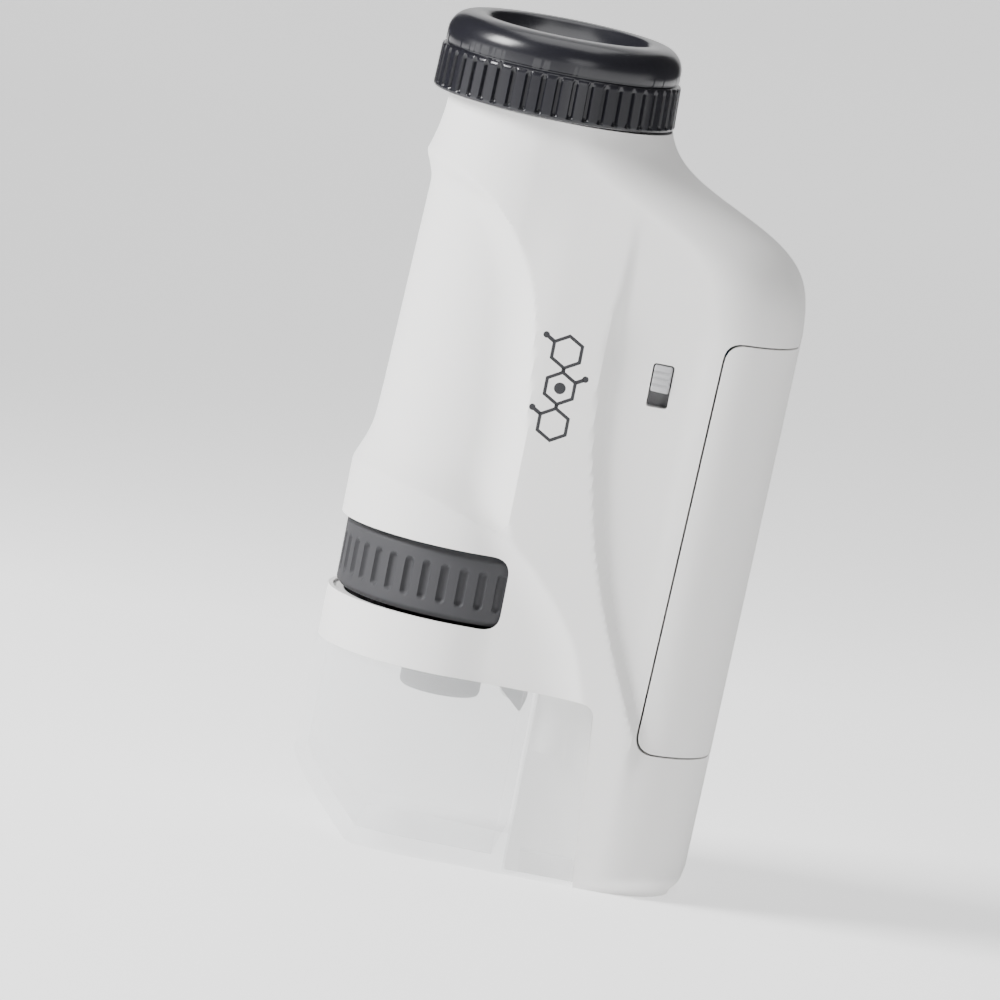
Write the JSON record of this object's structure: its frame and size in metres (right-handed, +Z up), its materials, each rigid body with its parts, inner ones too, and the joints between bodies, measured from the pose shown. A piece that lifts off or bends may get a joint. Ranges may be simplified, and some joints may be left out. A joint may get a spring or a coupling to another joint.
{
  "type": "kids microscope",
  "caption": "Hand-held toy microscope: white two-part casing, ribbed turning eyepiece, ribbed focus wheel, sliding barrels and a clear pull-off specimen base.",
  "frame": {"origin": "on the optical axis, in the resting plane under the clear base", "axes": "+Z up along the optical axis, -X towards the clear base, +X towards the grip, -Y the side with the light switch"},
  "size_m": [0.053, 0.0332, 0.105],
  "materials": {
    "white_shell": "satin moulded plastic",
    "black_gloss": "polished moulded plastic",
    "charcoal": "satin moulded plastic",
    "dark_grey": "satin moulded plastic",
    "clear_plastic": "clear polished plastic",
    "lens_glass": "polished lens",
    "inner_black": "matte moulded plastic",
    "switch_grey": "satin moulded plastic",
    "lamp_lens": "clear epoxy",
    "screw_steel": "zinc plated",
    "contact_metal": "nickel plated",
    "board_green": "solder mask",
    "resistor_tan": "lacquered",
    "wire_red": "vinyl",
    "cell_jacket": "printed jacket"
  },
  "bodies": {
    "housing": {"left_shell": "white_shell", "right_shell": "white_shell", "case_screws": "screw_steel", "optical_tube": "inner_black", "field_stop": "inner_black", "led_bracket": "charcoal", "led": "lamp_lens", "circuit_board": "board_green", "resistor": "resistor_tan", "switch_body": "contact_metal", "led_wire": "wire_red", "switch_wire": "wire_red", "battery_cell": "cell_jacket", "contact_plate": "contact_metal", "contact_spring": "contact_metal"},
    "eyepiece": {"eyepiece_cap": "black_gloss", "zoom_sleeve": "inner_black", "eye_lens": "lens_glass", "eye_lens_ring": "inner_black"},
    "zoom_carriage": {"zoom_carrier": "inner_black", "zoom_lens": "lens_glass"},
    "focus_ring": {"focus_wheel": "charcoal"},
    "objective": {"objective_barrel": "dark_grey", "objective_lens": "lens_glass", "objective_stop": "inner_black"},
    "base": {"clear_base": "clear_plastic"},
    "cover": {"battery_cover": "white_shell"},
    "light_switch": {"switch_slider": "switch_grey"}
  },
  "joints": [
    {"name": "zoom_turn", "type": "hinge", "parent": "housing", "child": "eyepiece", "pos_m": [0, 0, 0.095], "axis": [0, 0, 1], "range_deg": [0, 150]},
    {"name": "zoom_slide", "type": "slide", "parent": "housing", "child": "zoom_carriage", "axis": [0, 0, 1], "range_m": [0, 0.008]},
    {"name": "focus_turn", "type": "hinge", "parent": "housing", "child": "focus_ring", "pos_m": [0, 0, 0.0347], "axis": [0, 0, 1], "range_deg": [-60, 60]},
    {"name": "focus_slide", "type": "slide", "parent": "housing", "child": "objective", "axis": [0, 0, 1], "range_m": [-0.002, 0.002]},
    {"name": "base_pull", "type": "slide", "parent": "housing", "child": "base", "axis": [0, 0, -1], "range_m": [0, 0.03]},
    {"name": "cover_pull", "type": "slide", "parent": "housing", "child": "cover", "axis": [1, 0, 0], "range_m": [0, 0.03]},
    {"name": "light_slide", "type": "slide", "parent": "housing", "child": "light_switch", "axis": [0, 0, -1], "range_m": [0, 0.0018]}
  ],
  "couplings": [
    {"joint": "zoom_slide", "follows": "zoom_turn", "m_per_rad": 0.0030558},
    {"joint": "focus_slide", "follows": "focus_turn", "m_per_rad": 0.0019099}
  ]
}
